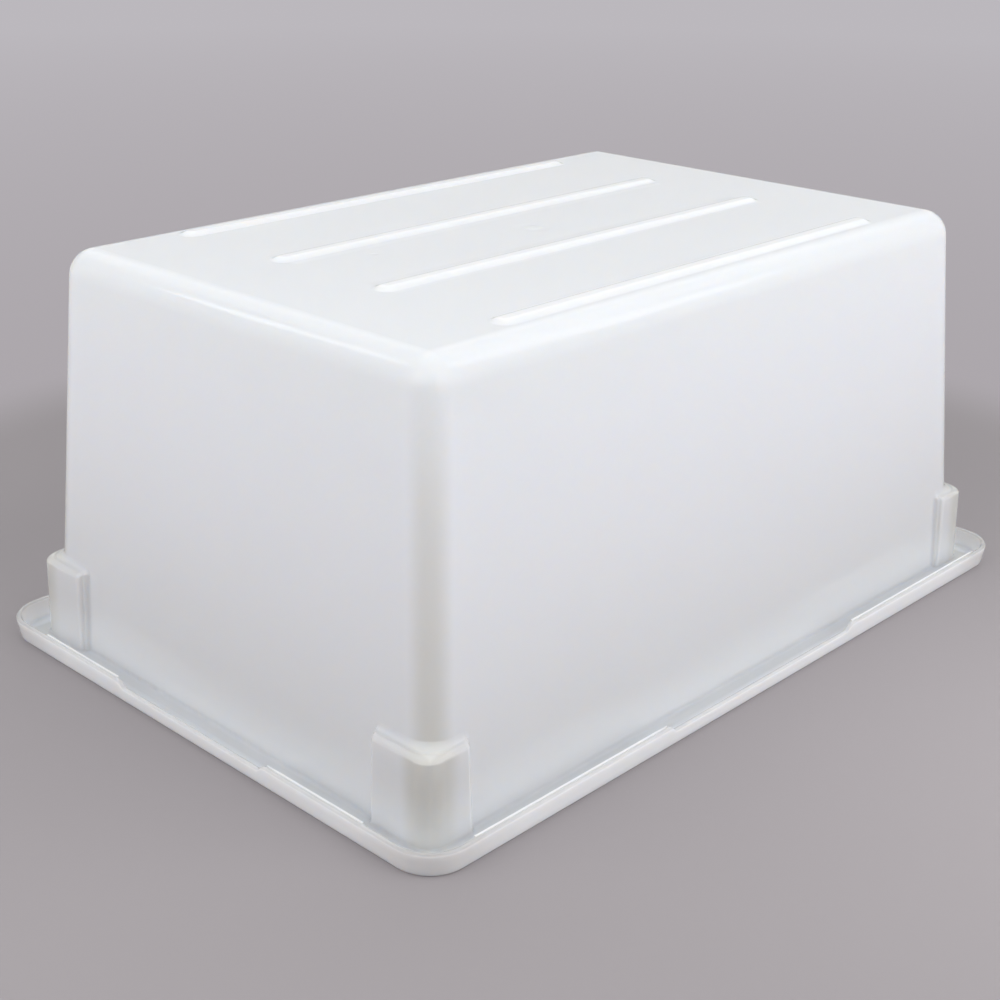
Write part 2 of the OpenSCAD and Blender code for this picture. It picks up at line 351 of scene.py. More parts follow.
class Skin:
    """The skin of one quarter of the box, the quarter where x and y are positive.

    A station is a place around the quarter: along the long side from its middle, around the corner,
    and along the short side to its middle. A level is a line through all stations, and the skin runs
    from level to level: down the walls, over the ledge and the lip, and up again inside.
    """

    def __init__(self, box, rim, lug):
        self.box, self.rim, self.lug = box, rim, lug
        self.base_z = box.full_height - box.rib_height
        self.slope = math.tan(box.draft)
        self.slant = 1 / math.cos(box.draft)
        self.foot = Vector((box.rim_length / 2 - rim.ledge_width, box.rim_width / 2 - rim.ledge_width))
        proud = Vector((lug.proud_end, lug.proud_side))
        self.lug_top = self.foot - Vector((1, 1)) * self.slope * lug.height + proud
        self.proud = (lug.proud_end + lug.proud_side) / 2
        # Where each lug ends along its side
        self.lug_end = self.lug_top - Vector((lug.long, lug.short))
        # Stations keep their distance from the middle up to here, and share what is left beyond it
        lug_side = box.wall + lug.side_lean / 2 + lug.outer_round + MARGIN / 10
        self.keep = self.lug_end + Vector((1, 1)) * lug_side
        self.full = Vector((box.rim_length / 2 - rim.round, box.rim_width / 2 - rim.round))
        self.clear_z = lug.height + lug.inner_round + MARGIN
        self.low = self.foot - Vector((1, 1)) * (self.slope * self.clear_z + box.corner_round)
        if min(self.low - self.keep) < MARGIN / 2:
            raise ValueError("the lugs are too short for their own rounds")
        self.step = rounded_step(self.proud, lug.inner_round, lug.outer_round, lug.side_lean)
        self.stations = self.make_stations()

    def base_mark(self, distance, side):
        """The station whose line crosses the base at this distance from its middle."""
        edge = self.edge_centre()[side]
        at = distance * self.low[side] / edge
        if at <= self.keep[side]:
            return at
        free = (self.full[side] - self.keep[side]) / (self.low[side] - self.keep[side])
        return self.keep[side] + (at - self.keep[side]) * free

    def base_marks(self, middle, reach, pitch, side):
        """The stations whose lines cross the base from middle - reach to middle + reach."""
        return [self.base_mark(m, side) for m in between(middle, reach, pitch)]

    def edge_centre(self):
        """Middle of the round of the base's edge, as half sizes."""
        r = self.box.corner_round
        out = self.slope * (self.base_z - r) + r * self.slant
        return self.foot - Vector((1, 1)) * out

    def rib_places(self):
        """Half length of a rib, and the distances of the ribs from the middle line."""
        flat = self.foot - Vector((1, 1)) * self.slope * self.base_z
        half = flat.x - self.box.rib_end
        last = flat.y - self.box.rib_side
        pitch = 2 * last / (self.box.rib_count - 1)
        rows = [last - pitch * i for i in range(self.box.rib_count)]
        return half, [r for r in rows if r >= 0], pitch

    def make_stations(self):
        """The stations, as (side, place): side 0 and 1 are the long and short sides, and 2 is the corner."""
        box, rim = self.box, self.rim
        half_rib, rib_rows, _ = self.rib_places()
        reach = box.rib_width / 2
        sides = []
        for side in (0, 1):
            dip = (rim.dip_long, rim.dip_short)[side] / 2
            bare = (rim.bare_long, rim.bare_short)[side]
            bead_end = (box.rim_length, box.rim_width)[side] / 2 - bare
            marks = [0.0, self.keep[side], self.full[side]]
            marks += self.base_marks(0.0, box.recess_width / 2 + MARGIN, CLOSE_PITCH, side)
            pin = (box.pin_along, box.pin_across)[side]
            marks += self.base_marks(pin, box.pin_width / 2 + MARGIN / 2, SLOPE_PITCH, side)
            marks += between(dip + rim.dip_ramp / 2, rim.dip_ramp / 2 + MARGIN, SLOPE_PITCH)
            bead_start = dip + rim.dip_ramp + BEAD_GAP
            marks += [bead_start, bead_start + BEAD_RISE, bead_end - BEAD_RISE, bead_end]
            marks += [self.lug_end[side] + run for run, _ in self.step]
            marks += [self.lug_end[side] + box.wall + run for run, _ in self.step]
            if side == 0:
                marks += self.base_marks(half_rib - reach / 2, reach / 2 + MARGIN, SLOPE_PITCH, 0)
            else:
                for row in rib_rows:
                    marks += self.base_marks(row, reach, CLOSE_PITCH, 1)
            places = spread([m for m in marks if 0 <= m <= self.full[side]], PLAIN_PITCH)
            kept = [places[0]]
            for p in places[1:]:
                if p - kept[-1] > LEAST_STEP:
                    kept.append(p)
            sides.append(kept)
        corner = [(2, a) for a in arc(90, 0, CORNER_ARC)[1:-1]]
        return [(0, p) for p in sides[0]] + corner + [(1, p) for p in reversed(sides[1])]

    def slide(self, place, side, straight):
        """Where a station lies along the straight part of a side that is this long."""
        low = self.low[side]
        if straight < low:
            return self.slide(place, side, low) * straight / low
        keep = self.keep[side]
        if place <= keep:
            return place
        return keep + (place - keep) * (straight - keep) / (self.full[side] - keep)

    def spot(self, station, shape):
        """The point of a rounded rectangle (half length, half width, radius) at a station."""
        half_l, half_w, r = shape
        side, place = station
        if side == 0:
            return self.slide(place, 0, half_l - r), half_w
        if side == 1:
            return half_l, self.slide(place, 1, half_w - r)
        return half_l - r + r * math.cos(place), half_w - r + r * math.sin(place)

    def level(self, shape, z):
        """A level line on one rounded rectangle."""
        return [Vector((*self.spot(s, shape), z)) for s in self.stations]

    def wall_shape(self, z, inset=0.0, out=0.0):
        """The outside of the walls at a height, or a face that lies inset inside it or out beyond it."""
        shift = out - self.slope * z - inset * self.slant
        return self.foot.x + shift, self.foot.y + shift, self.box.corner_round - inset + out

    def lug_shape(self, z, inset=0.0, out=0.0):
        """The outside of the lugs at a height, carried on round the whole box."""
        shift = math.tan(self.lug.draft) * (self.lug.height - z) + out - inset
        return self.lug_top.x + shift, self.lug_top.y + shift, self.lug.round + shift

    def lug_share(self, station, inset=0.0):
        """How far the skin follows the lug at a station: 0 on the plain wall, 1 on the lug."""
        side, place = station
        if side == 2:
            return 1.0
        return look_up(self.step, place - self.lug_end[side] - inset)

    def lugged_level(self, z, share=1.0, inset=0.0, out=0.0):
        """A level line of the walls that swells out over the lugs."""
        plain = self.level(self.wall_shape(z, inset, out), z)
        swollen = self.level(self.lug_shape(z, inset, out), z)
        return [
            a.lerp(b, share * self.lug_share(s, inset)) for s, a, b in zip(self.stations, plain, swollen)
        ]

    def lug_top_levels(self, inset=0.0):
        """Level lines from the plain wall down over the tops of the lugs, as (height, share)."""
        lug = self.lug
        top = lug.height - inset
        rows = []
        for i, a in enumerate(arc(0, 90, LUG_ARC)):
            z = top + lug.inner_round * (1 - math.sin(a)) + LEVEL_GAP * (LUG_ARC - i)
            rows.append((z, lug.inner_round * (1 - math.cos(a)) / self.proud))
        low = top - lug.top_fall
        for a in arc(0, 90, LUG_ARC + 1):
            run = self.proud - lug.top_round * (1 - math.sin(a))
            rows.append((low - lug.top_round * (1 - math.cos(a)), run / self.proud))
        return rows

    def lip_height(self, station):
        """Height of the lip's crown at a station."""
        side, place = station
        if side == 2:
            return self.rim.lip_height
        dip = (self.rim.dip_long, self.rim.dip_short)[side] / 2
        return self.rim.lip_height - self.rim.dip * (1 - smooth(place, dip, dip + self.rim.dip_ramp))

    def bead_share(self, station):
        """1 where the lip has its bead, 0 where it is bare."""
        side, place = station
        if side == 2:
            return 0.0
        start = (self.rim.dip_long, self.rim.dip_short)[side] / 2 + self.rim.dip_ramp + BEAD_GAP
        bare = (self.rim.bare_long, self.rim.bare_short)[side]
        end = (self.box.rim_length, self.box.rim_width)[side] / 2 - bare
        return min(smooth(place, start, start + BEAD_RISE), 1 - smooth(place, end - BEAD_RISE, end))

    def lip_level(self, profile):
        """A level line of the lip. The profile gives the distance in from its outer face, and the height."""
        rim = self.rim
        full = rim.lip_height - rim.lip / 2
        points = []
        for s in self.stations:
            inward, z = profile(s)
            out = rim.lean * (min(z / full, 1.0) - 1) - inward
            shape = (self.box.rim_length / 2 + out, self.box.rim_width / 2 + out, rim.round + out)
            points.append(Vector((*self.spot(s, shape), z)))
        return points

    def crown_levels(self):
        """Level lines over the crown of the lip and its bead, from the inner face to the outer face."""
        rim = self.rim
        r = rim.lip / 2
        bead_r = rim.bead_width / 2
        bead_in = rim.lip - bead_r
        bead_up = r + rim.bead_height - bead_r
        # Up the inner face, with one level on the way, and over the bead
        beaded = [(rim.lip, 0.0), (rim.lip, 0.6 * bead_up)]
        beaded += [
            (bead_in + bead_r * math.cos(a), bead_up + bead_r * math.sin(a)) for a in arc(0, 180, BEAD_ARC)
        ]
        foot_in = rim.lip - rim.bead_width
        beaded.append((foot_in, math.sqrt(max(r * r - (foot_in - r) ** 2, 0.0))))
        start = math.degrees(math.acos((foot_in - r) / r))
        plain = [(r + r * math.cos(a), r * math.sin(a)) for a in arc(0, start, len(beaded) - 1)]
        both = [(r + r * math.cos(a), r * math.sin(a)) for a in arc(start, 180, BEAD_ARC)[1:]]
        beaded += both
        plain += both
        levels = []
        for (in_a, up_a), (in_b, up_b) in zip(plain, beaded):

            def profile(s, in_a=in_a, up_a=up_a, in_b=in_b, up_b=up_b):
                share = self.bead_share(s)
                base = self.lip_height(s) - r
                return in_a + (in_b - in_a) * share, base + up_a + (up_b - up_a) * share

            levels.append(self.lip_level(profile))
        return levels

    def outer_wall_levels(self):
        """From the flat of the base down to the ledge."""
        box, rim, lug = self.box, self.rim, self.lug
        r = box.corner_round
        centre = self.edge_centre()
        levels = []
        for a in arc(90, math.degrees(box.draft), EDGE_ARC):
            reach = r * math.cos(a)
            shape = (centre.x + reach, centre.y + reach, reach)
            levels.append(self.level(shape, self.base_z - r + r * math.sin(a)))
        start = self.base_z - r + r * math.sin(box.draft)
        levels += [self.lugged_level(z, 0.0) for z in steps_after(start, self.clear_z, WALL_STEPS)]
        levels += [self.lugged_level(z, share) for z, share in self.lug_top_levels()]
        top = lug.height - lug.top_fall - lug.top_round
        low = rim.ledge + rim.floor_round
        levels += [self.lugged_level(z) for z in steps_after(top, low, WALL_STEPS)]
        for a in arc(0, 90, LEDGE_ARC)[1:]:
            out = rim.floor_round * (1 - math.cos(a))
            levels.append(self.lugged_level(rim.ledge + rim.floor_round * (1 - math.sin(a)), out=out))
        return levels

    def rim_levels(self, last):
        """From the last level of the wall over the ledge and the lip to the underside of the rim."""
        rim = self.rim
        r = rim.lip / 2

        def rounded(start, up, radius, turns):
            """Level lines over a quarter round at the lip's foot."""
            ends = [(start + radius * (1 - math.cos(a)), up + radius * (1 - math.sin(a))) for a in turns]
            return [self.lip_level(lambda s, end=end: end) for end in ends]

        inner_foot = rounded(rim.lip, rim.ledge, rim.floor_round, reversed(arc(0, 90, LEDGE_ARC)))
        floor = [[a.lerp(b, t) for a, b in zip(last, inner_foot[0])] for t in (1 / 3, 2 / 3)]
        low = rim.ledge + rim.floor_round
        rise = [self.lip_level(lambda s: (rim.lip, (low + self.lip_height(s) - r) / 2))]
        fall = [
            self.lip_level(lambda s, t=t: (0.0, (self.lip_height(s) - r) * (1 - t) + rim.foot_round * t))
            for t in (1 / 3, 2 / 3, 1.0)
        ]
        outer_foot = rounded(0.0, 0.0, rim.foot_round, arc(0, 90, FOOT_ARC)[1:])
        return floor + inner_foot + rise + self.crown_levels() + fall + outer_foot

    def inner_levels(self):
        """From the inner edge of the mouth up to the inside of the base."""
        box, rim, lug = self.box, self.rim, self.lug
        levels = []
        for a in arc(0, 90, MOUTH_ARC):
            z = rim.mouth_round * (1 - math.cos(a))
            levels.append(self.lugged_level(z, inset=box.wall, out=rim.mouth_round * (1 - math.sin(a))))
        top = lug.height - box.wall - lug.top_fall - lug.top_round
        steps = steps_after(rim.mouth_round, top, INNER_WALL_STEPS)[:-1]
        levels += [self.lugged_level(z, inset=box.wall) for z in steps]
        rows = self.lug_top_levels(box.wall)
        levels += [self.lugged_level(z, share, box.wall) for z, share in reversed(rows)]
        r = box.corner_round - box.wall
        ceiling = self.base_z - box.wall
        end = ceiling - r + r * math.sin(box.draft)
        steps = steps_after(rows[0][0], end, INNER_WALL_STEPS)[:-1]
        levels += [self.lugged_level(z, 0.0, box.wall) for z in steps]
        centre = self.edge_centre()
        for a in arc(math.degrees(box.draft), 90, INNER_EDGE_ARC):
            reach = r * math.cos(a)
            shape = (centre.x + reach, centre.y + reach, reach)
            levels.append(self.level(shape, ceiling - r + r * math.sin(a)))
        return levels

    def moulding_sizes(self):
        """What the geometry nodes need to know, by the names of their inputs."""
        box = self.box
        half_rib, _, pitch = self.rib_places()
        return {
            "Base Height": self.base_z,
            "Rib Count": box.rib_count,
            "Rib Pitch": pitch,
            "Rib Half Length": half_rib,
            "Rib Width": box.rib_width,
            "Rib Crown": box.rib_crown,
            "Rib Height": box.rib_height,
            "Recess Width": box.recess_width,
            "Recess Edge": box.recess_edge,
            "Recess Depth": box.recess_depth,
            "Gate Width": box.gate_width,
            "Gate Edge": box.gate_edge,
            "Gate Height": box.gate_height,
            "Dimple Width": box.dimple_width,
            "Dimple Depth": box.dimple_depth,
            "Pin Width": box.pin_width,
            "Pin Depth": box.pin_depth,
            "Pin Along": box.pin_along,
            "Pin Across": box.pin_across,
        }

    def build(self, mesh):
        """Writes the quarter into a mesh, with every face turned outwards."""
        bm = bmesh.new()
        outer = self.outer_wall_levels()
        levels = outer + self.rim_levels(outer[-1]) + self.inner_levels()
        rows = [[bm.verts.new(p) for p in level] for level in levels]
        for upper, lower in zip(rows, rows[1:]):
            for a, b, c, d in zip(upper, upper[1:], lower[1:], lower):
                bm.faces.new((a, b, c, d))
        self.fill_base(bm, levels[0])
        ceiling = levels[-1]
        middle = Vector((0, 0, ceiling[0].z))
        bm.faces.new([bm.verts.new(middle)] + [bm.verts.new(p) for p in ceiling])
        bmesh.ops.remove_doubles(bm, verts=bm.verts[:], dist=WELD)
        bmesh.ops.dissolve_degenerate(bm, edges=bm.edges[:], dist=WELD)
        for face in bm.faces:
            face.smooth = True
        bm.to_mesh(mesh)
        bm.free()

    def fill_base(self, bm, edge):
        """The flat of the base, as a grid whose lines run on from the stations of both sides."""
        long_side = [p.x for s, p in zip(self.stations, edge) if s[0] == 0]
        short_side = [p.y for s, p in zip(self.stations, edge) if s[0] == 1]
        centre = self.edge_centre()
        xs = long_side[:-1] + [centre.x]
        ys = short_side[::-1][:-1] + [centre.y]
        grid = [[bm.verts.new((x, y, self.base_z)) for x in xs] for y in ys]
        for near, far in zip(grid, grid[1:]):
            for a, b, c, d in zip(near, near[1:], far[1:], far):
                bm.faces.new((a, b, c, d))


class Tree:
    """Short words for adding nodes to a node tree and joining them."""

    def __init__(self, tree):
        self.tree = tree

    def add(self, kind, settings=None, **inputs):
        """A new node. Inputs are given by name or, as in0 and in1, by number."""
        node = self.tree.nodes.new(kind)
        for key, value in (settings or {}).items():
            setattr(node, key, value)
        for key, value in inputs.items():
            socket = node.inputs[int(key[2:])] if key[:2] == "in" and key[2:].isdigit() else node.inputs[key]
            self.feed(socket, value)
        return node

    def feed(self, socket, value):
        """Joins an output to a socket, or sets the socket's own value."""
        if isinstance(value, bpy.types.NodeSocket):
            self.tree.links.new(value, socket)
        else:
            socket.default_value = value

    def math(self, operation, *values):
        """The result of one math node."""
        node = self.tree.nodes.new("ShaderNodeMath")
        node.operation = operation
        for socket, value in zip(node.inputs, values):
            self.feed(socket, value)
        return node.outputs[0]

    def length(self, a, b):
        """The length of a line that goes a one way and b the other."""
        return self.math("SQRT", self.math("ADD", self.math("MULTIPLY", a, a), self.math("MULTIPLY", b, b)))

    def slope(self, value, start, end):
        """0 where the value is at start, 1 where it is at end, with a smooth slope between them."""
        ends = {"From Min": start, "From Max": end}
        node = self.add("ShaderNodeMapRange", {"interpolation_type": "SMOOTHSTEP"}, Value=value, **ends)
        return node.outputs["Result"]


def add_sockets(tree, names, kind="NodeSocketFloat", direction="INPUT"):
    """Adds named sockets of one kind to a node group."""
    for name in names:
        tree.interface.new_socket(name=name, in_out=direction, socket_type=kind)


def soft_disc_group():
    """A geometry node group: 1 on a round spot, falling smoothly to 0 at its edge."""
    tree = bpy.data.node_groups.new("Soft Disc", "GeometryNodeTree")
    add_sockets(tree, ("X", "Y", "Centre X", "Centre Y", "Width", "Edge"))
    add_sockets(tree, ("Share",), direction="OUTPUT")
    t = Tree(tree)
    given = t.add("NodeGroupInput").outputs
    dx = t.math("SUBTRACT", given["X"], given["Centre X"])
    dy = t.math("SUBTRACT", given["Y"], given["Centre Y"])
    outer = t.math("MULTIPLY", given["Width"], 0.5)
    share = t.slope(t.length(dx, dy), outer, t.math("SUBTRACT", outer, given["Edge"]))
    t.add("NodeGroupOutput", Share=share)
    return tree


def moulding_tree(sizes):
    """Geometry nodes that mirror a quarter of the box into the whole, and raise its ribs and marks."""
    tree = bpy.data.node_groups.new("Whole Moulding", "GeometryNodeTree")
    add_sockets(tree, ("Geometry",), "NodeSocketGeometry")
    for name, size in sizes.items():
        add_sockets(tree, (name,), "NodeSocketInt" if isinstance(size, int) else "NodeSocketFloat")
    add_sockets(tree, ("Material",), "NodeSocketMaterial")
    add_sockets(tree, ("Geometry",), "NodeSocketGeometry", "OUTPUT")
    t = Tree(tree)
    given = t.add("NodeGroupInput").outputs
    whole = given["Geometry"]
    for scale in ((-1.0, 1.0, 1.0), (1.0, -1.0, 1.0)):
        turned = t.add("GeometryNodeTransform", Geometry=whole, Scale=scale).outputs["Geometry"]
        flipped = t.add("GeometryNodeFlipFaces", Mesh=turned).outputs["Mesh"]
        join = t.add("GeometryNodeJoinGeometry")
        tree.links.new(whole, join.inputs[0])
        tree.links.new(flipped, join.inputs[0])
        whole = join.outputs[0]
    welded = t.add("GeometryNodeMergeByDistance", Geometry=whole, Distance=WELD).outputs["Geometry"]

    xyz = t.add("ShaderNodeSeparateXYZ", Vector=t.add("GeometryNodeInputPosition").outputs[0]).outputs
    x, y = xyz["X"], xyz["Y"]
    # The nearest rib's number, and how far the point is from that rib's middle line and past its end
    half_count = t.math("MULTIPLY", t.math("SUBTRACT", given["Rib Count"], 1.0), 0.5)
    nearest = t.math("ROUND", t.math("ADD", t.math("DIVIDE", y, given["Rib Pitch"]), half_count))
    last = t.math("MULTIPLY", half_count, 2.0)
    number = t.math("MINIMUM", t.math("MAXIMUM", nearest, 0.0), last)
    row = t.math("MULTIPLY", t.math("SUBTRACT", number, half_count), given["Rib Pitch"])
    across = t.math("SUBTRACT", y, row)
    reach = t.math("MULTIPLY", given["Rib Width"], 0.5)
    straight = t.math("SUBTRACT", given["Rib Half Length"], reach)
    past = t.math("MAXIMUM", t.math("SUBTRACT", t.math("ABSOLUTE", x), straight), 0.0)
    on_rib = t.slope(t.length(across, past), reach, t.math("MULTIPLY", given["Rib Crown"], 0.5))
    rib = t.math("MULTIPLY", on_rib, given["Rib Height"])

    disc = soft_disc_group()

    def spot(width, edge, centre_x=0.0, centre_y=0.0):
        node = t.add("GeometryNodeGroup", {"node_tree": disc})
        values = {"X": x, "Y": y, "Centre X": centre_x, "Centre Y": centre_y, "Width": width, "Edge": edge}
        for name, value in values.items():
            t.feed(node.inputs[name], value)
        return node.outputs["Share"]

    recess = t.math("MULTIPLY", spot(given["Recess Width"], given["Recess Edge"]), given["Recess Depth"])
    gate = t.math("MULTIPLY", spot(given["Gate Width"], given["Gate Edge"]), given["Gate Height"])
    dimple = t.math("MULTIPLY", spot(given["Dimple Width"], given["Gate Edge"]), given["Dimple Depth"])
    pin_x = t.math("MULTIPLY", given["Pin Along"], -1.0)
    pin = spot(given["Pin Width"], given["Gate Edge"], pin_x, given["Pin Across"])
    sunk = t.math("ADD", t.math("ADD", recess, dimple), t.math("MULTIPLY", pin, given["Pin Depth"]))
    rise = t.math("SUBTRACT", t.math("ADD", rib, gate), sunk)
    on_base = t.math("GREATER_THAN", xyz["Z"], t.math("SUBTRACT", given["Base Height"], BASE_SLACK))
    lift = t.add("ShaderNodeCombineXYZ", Z=t.math("MULTIPLY", rise, on_base)).outputs[0]
    raised = t.add("GeometryNodeSetPosition", Geometry=welded, Offset=lift).outputs["Geometry"]
    real = t.add("GeometryNodeRealizeInstances", Geometry=raised).outputs["Geometry"]
    done = t.add("GeometryNodeSetMaterial", Geometry=real, Material=given["Material"])
    t.add("NodeGroupOutput", Geometry=done.outputs["Geometry"])
    return tree


def mottle_group():
    """A shader node group: soft clouds and fine grain that change over a surface."""
    tree = bpy.data.node_groups.new("Mottle", "ShaderNodeTree")
    add_sockets(tree, ("Vector",), "NodeSocketVector")
    add_sockets(tree, ("Cloud Scale", "Grain Scale"))
    add_sockets(tree, ("Clouds", "Grain"), direction="OUTPUT")
    t = Tree(tree)
    given = t.add("NodeGroupInput").outputs
    cloud = t.add("ShaderNodeTexNoise", Vector=given["Vector"], Scale=given["Cloud Scale"], Detail=3.0)
    grain = t.add("ShaderNodeTexNoise", Vector=given["Vector"], Scale=given["Grain Scale"], Detail=2.0)
    t.add("NodeGroupOutput", Clouds=cloud.outputs["Fac"], Grain=grain.outputs["Fac"])
    return tree


def mottled(t, where, cloud_scale, grain_scale):
    """The clouds and the grain of the mottle group, which is built the first time it is asked for."""
    mottle = t.add("ShaderNodeGroup", {"node_tree": bpy.data.node_groups.get("Mottle") or mottle_group()})
    for name, value in (("Vector", where), ("Cloud Scale", cloud_scale), ("Grain Scale", grain_scale)):
        t.feed(mottle.inputs[name], value)
    return mottle.outputs["Clouds"], mottle.outputs["Grain"]


def new_material(name):
    """An empty node material, its Principled shader and a place to add nodes."""
    material = bpy.data.materials.new(name)
    material.use_nodes = True
    tree = material.node_tree
    shader = next(n for n in tree.nodes if n.type == "BSDF_PRINCIPLED")
    return material, shader, Tree(tree)


def mixed(t, share, first, second):
    """A blend of two colours."""
    node = t.add("ShaderNodeMix", {"data_type": "RGBA"}, Factor=share)
    t.feed(node.inputs[6], first)
    t.feed(node.inputs[7], second)
    return node.outputs[2]


def tinted(t, colour, mask, tint):
    """A colour that is multiplied by a tint where the mask is 1."""
    node = t.add("ShaderNodeMix", {"data_type": "RGBA", "blend_type": "MULTIPLY"}, Factor=mask)
    t.feed(node.inputs[6], colour)
    t.feed(node.inputs[7], (*tint, 1.0))
    return node.outputs[2]


def shaded(t, colour, mask, shade):
    """A colour that is darker by a share where the mask is 1."""
    return tinted(t, colour, mask, (1.0 - shade,) * 3)


# Where the painted shade and light, and the tones of the thicker parts, start and where they are full. The
# plain ones are distances in metres, and the faces are given by how far they look up, from 0 on an upright
# face to 1.
INTO_CORNER = (-21 * MM, -7 * MM)
DOWN_CORNER = (320 * MM, 180 * MM)
UPRIGHT_FACE = (0.5, 0.2)
PROUD_OF_WALL = (1 * MM, 4 * MM)
LUG_TOP_FACE = (0.2, 0.7)
OUT_FROM_WALL = (6 * MM, 14 * MM)
DOWN_TO_LEDGE = (48 * MM, 6 * MM)
CROWN_FACE = (0.1, 0.7)
UP_THE_LIP = (8 * MM, 11 * MM)
IN_FROM_RIM = (6 * MM, 3 * MM)
INTO_LIP_CORNER = (-90 * MM, -5 * MM)
OVER_THE_LIP = (0.4 * MM, 0.9 * MM)
OVER_THE_BASE = (0.03 * MM, 0.5 * MM)
GATE_TONE_EDGE = 1.5 * MM
# Sizes of the clouds, the grain and the waves of the plastic, as noise scales
PLASTIC_CLOUDS = 7.0
PLASTIC_GRAIN = 1400.0
PLASTIC_WAVES = 9.0
# How much the roughness changes with the clouds, and the range of the clouds that it follows
ROUGHNESS_CHANGE = 0.02
CLOUD_RANGE = (0.3, 0.7)
# Strength and height of the waves and of the grain
WAVE_BUMP = {"Strength": 0.35, "Distance": 0.9 * MM}
GRAIN_BUMP = {"Strength": 0.25, "Distance": 0.06 * MM}
# Red light goes a little deeper into the plastic than blue light does
SCATTER_BY_COLOUR = (1.0, 0.85, 0.7)
PLASTIC_IOR = 1.5


